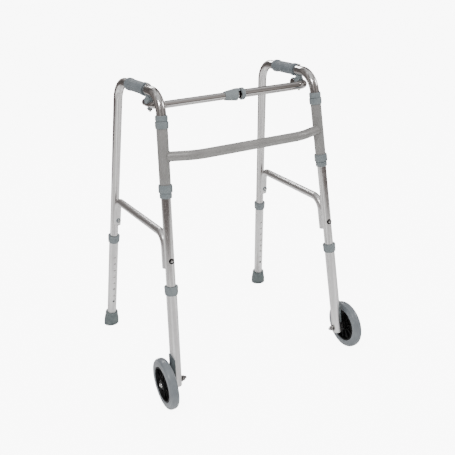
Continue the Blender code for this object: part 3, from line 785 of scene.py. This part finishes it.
def latch():
    """The flared housing with its window, the ring beyond it, and the dark catch in the window."""
    along = Vector((1, 0, 0))
    centre = Vector((0, BAR_Y - MIDDLE_Y, BAR_Z))
    body = "right_spreader_half"
    bore = INNER_BAR_R + SLIP_GAP
    ring_bore = OUTER_BAR_R + SLIP_GAP
    shell = turned("latch_shell", [
        (0.0114, -0.0320), (bore, -0.0320), (bore, 0.0024), (0.0128, 0.0024), (0.0128, 0.0108),
        (0.0160, 0.0108), (0.0162, 0.0010), (0.0152, -0.0060), (0.0128, -0.0240), (0.0117, -0.0300)],
        body, LATCH_PLASTIC, centre, along, UP, steps=72, soft=0.0007)
    window_at = Matrix.Translation(centre + Vector((0.0110, 0, -0.0106)))
    window_size = (0.0160, 0.05, 0.0424)
    window = bmesh.new()
    bmesh.ops.create_cube(window, size=1.0, matrix=window_at @ Matrix.Diagonal((*window_size, 1.0)))
    cut(shell, window, "window")
    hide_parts("latch_housing")
    ring = turned("latch_end_ring", [
        (0.0150, 0.0102), (0.0162, 0.0084), (0.0163, 0.0014), (0.0155, 0.0002),
        (ring_bore, 0.0002), (ring_bore, 0.0102)],
        "left_spreader_half", LATCH_PLASTIC,
        centre + along * OUTER_BAR_END_X, along, UP, steps=72, soft=0.0008)
    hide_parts("latch_ring")
    lug_size = (0.0040, 0.0036, 0.0042)
    lug_out = 0.0132
    lugs = []
    for tilt, shift in ((52, 0.0050), (30, 0.0085), (12, 0.0056)):
        turn = Matrix.Rotation(math.radians(tilt - 90), 4, "X")
        place = Matrix.Translation(centre + along * shift) @ turn @ Matrix.Translation((0, 0, lug_out))
        lugs.append((place, lug_size))
    catch = finished(blocky(lugs, 0.0005), "latch_catch", "latch_push_button", CATCH)
    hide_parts("latch_button")


# ---------------------------------------------------------------- the lower legs
def lower_leg(word, side, place, leg, end_z, button_z, way):
    """The outer tube that slides on the leg, with its row of holes and the collar on its top."""
    body = "%s_%s_leg" % (place, word)
    axis = up_leg(leg, side)
    foot = leg(side, end_z)
    top = leg(side, LEG_COLLAR_Z) + axis * (LEG_COLLAR_LENGTH - LEG_COLLAR_LIP - SEAT_GAP)
    tube = finished(swept([foot, foot.lerp(top, 0.5), top], LOWER_R, LOWER_BORE, 56),
                    "%s_extension_tube_%s" % (place, word), body, SATIN)
    holes = bmesh.new()
    for number in range(-HOLES_BELOW, HOLES_ABOVE + 1):
        spot = leg(side, button_z) + axis * (HOLE_PITCH * number) + way * LOWER_R
        rod_shape(spot, way, HOLE_R, length=0.008, sides=28, shape=holes)
    if place == "front":
        outboard = Vector((side, 0, 0))
        rod_shape(front_leg(side, WHEEL_R), outboard, AXLE_HOLE_R, length=0.06, sides=28, shape=holes)
    cut(tube, holes, "holes")
    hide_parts("%s_leg_tube_%s" % (place, word))
    length = LEG_COLLAR_LENGTH
    outer = LEG_COLLAR_R
    bore = LOWER_R + PRESS_GAP
    lip_bore = LOWER_BORE - PRESS_GAP
    collar = turned("%s_clamp_collar_%s" % (place, word), [
        (outer - 0.0012, length), (outer, length - 0.0014), (outer, length - 0.0060),
        (outer - 0.0004, length - 0.0066), (outer - 0.0004, 0.0072), (outer - 0.0008, 0.0064),
        (outer - 0.0012, 0.0012), (outer - 0.0022, 0), (bore, 0), (bore, length - LEG_COLLAR_LIP),
        (lip_bore, length - LEG_COLLAR_LIP), (lip_bore, length)],
        body, PLASTIC, leg(side, LEG_COLLAR_Z), axis, steps=64, soft=0.0006)
    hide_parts("%s_leg_collar_%s" % (place, word))


def snap_button(word, side, leg, z, way, place):
    pin = turned("height_button_%s_%s" % (place, word), [
        (0, 0.0166), (0.0016, 0.0163), (0.0027, 0.0154), (0.0032, 0.0140), (0.0032, 0.0090),
        (0.0046, 0.0088), (0.0046, 0.0078), (0, 0.0078)],
        "%s_%s_snap" % (place, word), STEEL, leg(side, z), way, up_leg(leg, side),
        steps=32, soft=0.0002)
    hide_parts("snap_button_%s_%s" % (place, word))


def rear_tip(word, side):
    """A ringed rubber ferrule, flat where it stands on the floor."""
    cup = LOWER_R + PRESS_GAP
    profile = [
        (0, TIP_FLOOR), (cup, TIP_FLOOR), (cup, TIP_TOP), (0.0194, TIP_TOP), (0.0206, TIP_TOP - 0.0018),
        (0.0209, TIP_TOP - 0.0060), (0.0205, TIP_TOP - 0.0072), (0.0216, 0.0350), (0.0230, 0.0280),
        (TIP_R - 0.0004, 0.0210), (TIP_R, 0.0120), (TIP_R - 0.0006, 0.0114), (TIP_R - 0.0006, 0.0102),
        (TIP_R, 0.0096), (TIP_R, -0.0120), (0, -0.0120),
    ]
    place = Matrix.Translation(rear_leg(side, 0)) @ basis(up_leg(rear_leg, side), REARWARD)
    shape = lathe(softened(profile, 0.0006), place, 72)
    trimmed = bmesh.ops.bisect_plane(
        shape, geom=shape.verts[:] + shape.edges[:] + shape.faces[:], plane_co=(0, 0, 0.00005),
        plane_no=(0, 0, -1), clear_outer=True)
    rim = [edge for edge in trimmed["geom_cut"] if isinstance(edge, bmesh.types.BMEdge)]
    bmesh.ops.contextual_create(shape, geom=rim)
    tip = finished(shape, "ferrule_" + word, "rear_%s_leg" % word, TIP)
    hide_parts("rear_tip_" + word)


# ---------------------------------------------------------------- the wheels
def wheel(word, side):
    body = word + "_wheel"
    half = WHEEL_WIDTH / 2
    outboard = Vector((side, 0, 0))
    centre = front_leg(side, WHEEL_R) + outboard * WHEEL_OFFSET
    sidewall = [
        (RIM_R + 0.0010, half - 0.0012), (RIM_R + 0.0030, half - 0.0004), (RIM_R + 0.0080, half),
        (RIM_R + 0.0100, half - 0.0006),
    ]
    crown = []
    crown_steps, crown_depth = 14, 0.0096
    for n in range(crown_steps + 1):
        angle = math.pi / 2 * (1 - 2 * n / crown_steps)
        swell = math.copysign(abs(math.sin(angle)) ** 0.85, math.sin(angle))
        r = WHEEL_R - crown_depth + crown_depth * math.cos(angle) ** 0.75
        crown.append((r, (half - 0.0008) * swell))
    mirrored = [(r, -h) for r, h in reversed(sidewall)]
    outline = sidewall + crown + mirrored + [(RIM_R, -half + 0.0020), (RIM_R, half - 0.0020)]
    tyre = turned("solid_tyre_" + word, outline, body, TYRE, centre, outboard, steps=128,
                  soft=0.0004, crease=50)
    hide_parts("tyre_" + word)
    hub(word, body, centre, outboard, half)


def hub(word, body, centre, outboard, half):
    """A dished hub: a rim band, a recessed web, a boss, and ribs between them on each face."""
    rim = RIM_R - PRESS_GAP
    web = 0.0022
    band = rim - 0.0040
    boss = 0.0155
    boss_bore = 0.0112
    disc = turned("dished_hub_" + word, [
        (rim, half - 0.0016), (rim, -half + 0.0016), (band, -half + 0.0010), (band - 0.0022, -web - 0.0012),
        (band - 0.0040, -web), (boss + 0.0030, -web), (boss, -web - 0.0020), (boss - 0.0008, -half + 0.0010),
        (boss_bore, -half), (boss_bore, half), (boss - 0.0008, half - 0.0010), (boss, web + 0.0020),
        (boss + 0.0030, web), (band - 0.0040, web), (band - 0.0022, web + 0.0012), (band, half - 0.0010)],
        body, BLACK, centre, outboard, steps=96, soft=0.0006)
    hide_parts("wheel_hub_" + word)
    place = Matrix.Translation(centre) @ basis(outboard, UP)
    rib_count = 10
    rib_middle = (boss + band) / 2 - 0.0004
    rib_size = (band - boss + 0.0010, 0.0024, 0.0060)
    ribs = []
    for n in range(rib_count):
        turn = Matrix.Rotation(math.tau * n / rib_count, 4, "Z")
        for face in (-1, 1):
            at = Matrix.Translation((rib_middle, 0, face * (web + 0.0026)))
            ribs.append((place @ turn @ at, rib_size))
    finished(blocky(ribs, 0.0005), "hub_ribs_" + word, body, BLACK)
    for face, label in ((1, "outer"), (-1, "inner")):
        turned("hub_cap_%s_%s" % (label, word), [
            (0.0118, half - 0.0005), (0.0112, half + 0.0002), (0.0098, half + 0.0003),
            (0.0090, half - 0.0007), (0.0052, half - 0.0007), (0.0052, half - 0.0030),
            (0.0118, half - 0.0030)],
            body, BLACK, centre, outboard * face, UP, steps=56, soft=0.0002)
    bearing = turned("axle_bearing_" + word, [
        (0.0108, half - 0.0012), (0.0108, -half + 0.0012), (0.0044, -half + 0.0012), (0.0044, half - 0.0012)],
        body, STEEL, centre, outboard, UP, steps=48, soft=0.0003)
    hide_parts("wheel_bearing_" + word)


def axle(word, side):
    """The wheel's bolt through the leg, with a spacer on the wheel's side and a nut on the other."""
    body = "front_%s_leg" % word
    outboard = Vector((side, 0, 0))
    centre = front_leg(side, WHEEL_R)
    head = WHEEL_OFFSET + WHEEL_WIDTH / 2 + SEAT_GAP
    seat = LOWER_R + 0.0009
    bolt = turned("axle_pin_" + word, [
        (0, head + 0.0026), (0.0022, head + 0.0026), (0.0026, head + 0.0044), (0.0046, head + 0.0042),
        (0.0064, head + 0.0026), (0.0070, head + 0.0010), (0.0070, head), (0.0039, head),
        (0.0039, -seat - 0.0132), (0.0033, -seat - 0.0140), (0, -seat - 0.0140)],
        body, STEEL, centre, outboard, UP, steps=40, soft=0.0002)
    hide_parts("axle_bolt_" + word)
    nut = turned("axle_lock_nut_" + word, [
        (0.0076, 0.0006), (0.0082, 0.0014), (0.0082, 0.0062), (0.0072, 0.0074), (0.0060, 0.0090),
        (0.0041, 0.0090), (0.0041, 0.0006)],
        body, DARK_STEEL, centre - outboard * seat, -outboard, UP, steps=6, soft=0)
    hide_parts("axle_nut_" + word)
    turned("axle_washer_" + word, [
        (0.0094, -0.0003), (0.0094, 0.0005), (0.0086, 0.0012), (0.0043, 0.0012), (0.0043, -0.0003)],
        body, DARK_STEEL, centre - outboard * seat, -outboard, UP, steps=40, soft=0.0002)
    spacer_end = WHEEL_OFFSET - WHEEL_WIDTH / 2 - SEAT_GAP
    spacer = turned("axle_spacer_ring_" + word, [
        (0.0080, seat), (0.0080, spacer_end), (0.0044, spacer_end), (0.0044, seat)],
        body, STEEL, centre, outboard, UP, steps=40, soft=0.0003)
    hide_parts("axle_spacer_" + word)
    leg_saddle(word, side, body)


def leg_saddle(word, side, body):
    """A moulded shell on the leg's outer side, beside the wheel, with rounded ends. Its plastic is darkened
    with painted shade for the gap between the wheel and the leg.
    """
    low_z, high_z = 0.084, 0.156
    high_drop, low_share = 0.022, 0.4
    inner_r, outer_r = LOWER_R + PRESS_GAP, LOWER_R + 0.0026
    steps, spread = 20, math.radians(66)
    sharp = 1.0  # radians between two faces
    up = up_leg(front_leg, side)
    out = Vector((side, 0, 0))
    out = (out - up * out.dot(up)).normalized()
    across = up.cross(out)
    shape = bmesh.new()
    columns = []
    for n in range(steps + 1):
        angle = spread * (2 * n / steps - 1)
        way = out * math.cos(angle) + across * math.sin(angle)
        drop = high_drop * math.sin(angle) ** 2
        low = front_leg(side, low_z + drop * low_share)
        high = front_leg(side, high_z - drop)
        columns.append([shape.verts.new(p) for p in (
            low + way * inner_r, low + way * outer_r, high + way * outer_r, high + way * inner_r)])
    for first, second in zip(columns, columns[1:]):
        for k in range(4):
            m = (k + 1) % 4
            shape.faces.new((first[k], first[m], second[m], second[k]))
    shape.faces.new(columns[0])
    shape.faces.new(columns[-1][::-1])
    corners = [edge for edge in shape.edges if edge.calc_face_angle(0) > sharp]
    bmesh.ops.bevel(shape, geom=corners, offset=0.0006, segments=3, affect="EDGES", profile=0.5)
    # the shell gets the darker plastic, which is painted shade
    finished(shape, "leg_saddle_" + word, body, SHADED_SADDLE_PLASTIC)


# ---------------------------------------------------------------- stage
def streaks(tree, vector, low, high):
    """A value that swings between low and high with the compass direction of a vector."""
    split = tree.nodes.new("ShaderNodeSeparateXYZ")
    feed(tree, split.inputs["Vector"], vector)
    bearing = calculated(tree, "ARCTAN2", split.outputs["Y"], split.outputs["X"])
    crest = 0.7
    waves = []
    for bands, start in STREAK_WAVES:
        waves.append(calculated(tree, "SINE", calculated(tree, "MULTIPLY_ADD", bearing, bands, start)))
    return remapped(tree, calculated(tree, "ADD", *waves), (-crest, crest), (low, high))


def world_light():
    """A white studio for light and camera. What reflections show of it is darker, in upright bands."""
    world = bpy.data.worlds.new("studio")
    bpy.context.scene.world = world
    world.use_nodes = True
    tree = world.node_tree
    tree.nodes.clear()
    direction = tree.nodes.new("ShaderNodeTexCoord").outputs["Generated"]
    split = tree.nodes.new("ShaderNodeSeparateXYZ")
    feed(tree, split.inputs["Vector"], direction)
    walls = colour_ramp(tree, split.outputs["Z"], MIRRORED_WALLS)
    darker_rear = remapped(tree, split.outputs["Y"], (0.05, 0.40), (1.0, 0.70))
    banded = calculated(tree, "MULTIPLY", streaks(tree, direction, 0.35, 1.25), darker_rear)
    mirrored = background(tree, walls, banded)
    light = background(tree, WHITE, 0.80)
    backdrop = background(tree, WHITE, BACKDROP)
    path = tree.nodes.new("ShaderNodeLightPath").outputs
    around = mixed(tree, path["Is Glossy Ray"], light, mirrored)
    output = tree.nodes.new("ShaderNodeOutputWorld")
    feed(tree, output.inputs["Surface"], mixed(tree, path["Is Camera Ray"], around, backdrop))


def floor():
    """A pale sweep. What reflections show of it is darker in streaks, far away and behind the frame."""
    mesh = bpy.data.meshes.new("floor")
    shape = bmesh.new()
    bmesh.ops.create_grid(shape, x_segments=1, y_segments=1, size=FLOOR_SIZE)
    shape.to_mesh(mesh)
    shape.free()
    plane = bpy.data.objects.new("floor", mesh)
    bpy.context.scene.collection.objects.link(plane)
    paint = Paint("pale_floor", Specular_IOR_Level=0.0, Emission_Color=WHITE)
    paint.colour(paint.noise(0.8), (0.93, 0.93, 0.93), (0.96, 0.96, 0.96))
    paint.rough(paint.noise(3), 0.75, 0.9)
    tree = paint.tree
    path = tree.nodes.new("ShaderNodeLightPath").outputs
    mirror_glow = calculated(tree, "MULTIPLY", path["Is Glossy Ray"], 0.30)
    glow = calculated(tree, "MULTIPLY_ADD", path["Is Camera Ray"], BACKDROP - LIT_FLOOR, mirror_glow)
    feed(tree, paint.shader.inputs["Emission Strength"], glow)
    distance = measured(tree, "LENGTH", paint.where)
    depth = measured(tree, "DOT_PRODUCT", paint.where, VIEW_WAY)
    far = remapped(tree, distance, (1.5, 2.6))
    behind = remapped(tree, depth, (0.75, 1.15), (0.0, 0.85))
    shade = streaks(tree, paint.where, 0.55, 0.0)
    for darker in (behind, far):
        shade = calculated(tree, "MAXIMUM", shade, darker)
    shade = calculated(tree, "MULTIPLY", shade, path["Is Glossy Ray"])
    dark = tree.nodes.new("ShaderNodeBsdfDiffuse")
    dark.inputs["Color"].default_value = MIRRORED_FLOOR
    surface = mixed(tree, shade, paint.shader.outputs["BSDF"], dark.outputs["BSDF"])
    feed(tree, tree.nodes["Material Output"].inputs["Surface"], surface)
    mesh.materials.append(paint.material)


def softbox(name, place, target, size, power):
    light = bpy.data.lights.new(name, "AREA")
    light.shape = "RECTANGLE"
    light.size, light.size_y = size
    light.energy = power
    box = bpy.data.objects.new(name, light)
    bpy.context.scene.collection.objects.link(box)
    box.location = place
    box.rotation_euler = (Vector(place) - Vector(target)).to_track_quat("Z", "Y").to_euler()


def camera():
    yaw, pitch, roll = (math.radians(turn) for turn in (CAMERA_YAW, CAMERA_PITCH, CAMERA_ROLL))
    way = Vector((-math.sin(yaw) * math.cos(pitch), math.cos(yaw) * math.cos(pitch), math.sin(pitch)))
    right = Vector((math.cos(yaw), math.sin(yaw), 0))
    up = right.cross(way)
    turned_right = right * math.cos(roll) + up * math.sin(roll)
    turned_up = up * math.cos(roll) - right * math.sin(roll)
    data = bpy.data.cameras.new("camera")
    data.lens = CAMERA_LENS
    data.sensor_width = CAMERA_SENSOR
    view = bpy.data.objects.new("camera", data)
    bpy.context.scene.collection.objects.link(view)
    aim = Matrix((turned_right, turned_up, -way)).transposed().to_4x4()
    x, y, z = CAMERA_PLACE
    view.matrix_world = Matrix.Translation((x, y - MIDDLE_Y, z)) @ aim
    bpy.context.scene.camera = view


def build():
    front_frame()
    for word, side in SIDES.items():
        body = word + "_side_frame"
        bar_body = word + "_spreader_half"
        side_tube(word, side, body)
        brace(word, side, body)
        leg_seat = LEG_R + SEAT_GAP
        brace_seat = LEG_R + 2 * BRACE_R + 2 * FIT
        through_bolt(word, side, "front", front_leg, leg_seat, brace_seat, body)
        through_bolt(word, side, "rear", rear_leg, brace_seat, leg_seat, body)
        stop_collar(word, side, "upper", SLEEVE_TOP_Z, 1, body)
        stop_collar(word, side, "lower", SLEEVE_END_Z, -1, body)
        hand_grip(word, side, body)
        bar_r = INNER_BAR_R if side < 0 else OUTER_BAR_R
        end_x = INNER_BAR_END_X if side < 0 else OUTER_BAR_END_X
        bar_pivot(word, side, bar_r, body, bar_body)
        spreader_half(word, side, bar_r, end_x, bar_body)
        seats = (("front", front_leg, FRONT_BUTTON_Z, 1, FRONT_LEG_END_Z),
                 ("rear", rear_leg, REAR_BUTTON_Z, -1, TIP_FLOOR + 0.0010))
        for place, leg, z, sign, end_z in seats:
            way = leg_normal(leg, side) * sign
            lower_leg(word, side, place, leg, end_z, z, way)
            snap_button(word, side, leg, z, way, place)
        rear_tip(word, side)
        wheel(word, side)
        axle(word, side)
    latch()


build()
world_light()
floor()
softbox("key", place=(-1.6, -1.8, 3.0), target=(0, 0, 0.4), size=(0.7, 0.7), power=40)
softbox("fill", place=(2.6, -1.2, 2.2), target=(0, 0, 0.4), size=(0.6, 0.9), power=20)
softbox("rim", place=(0.4, 2.8, 2.6), target=(0, 0, 0.5), size=(1.4, 0.5), power=25)
camera()
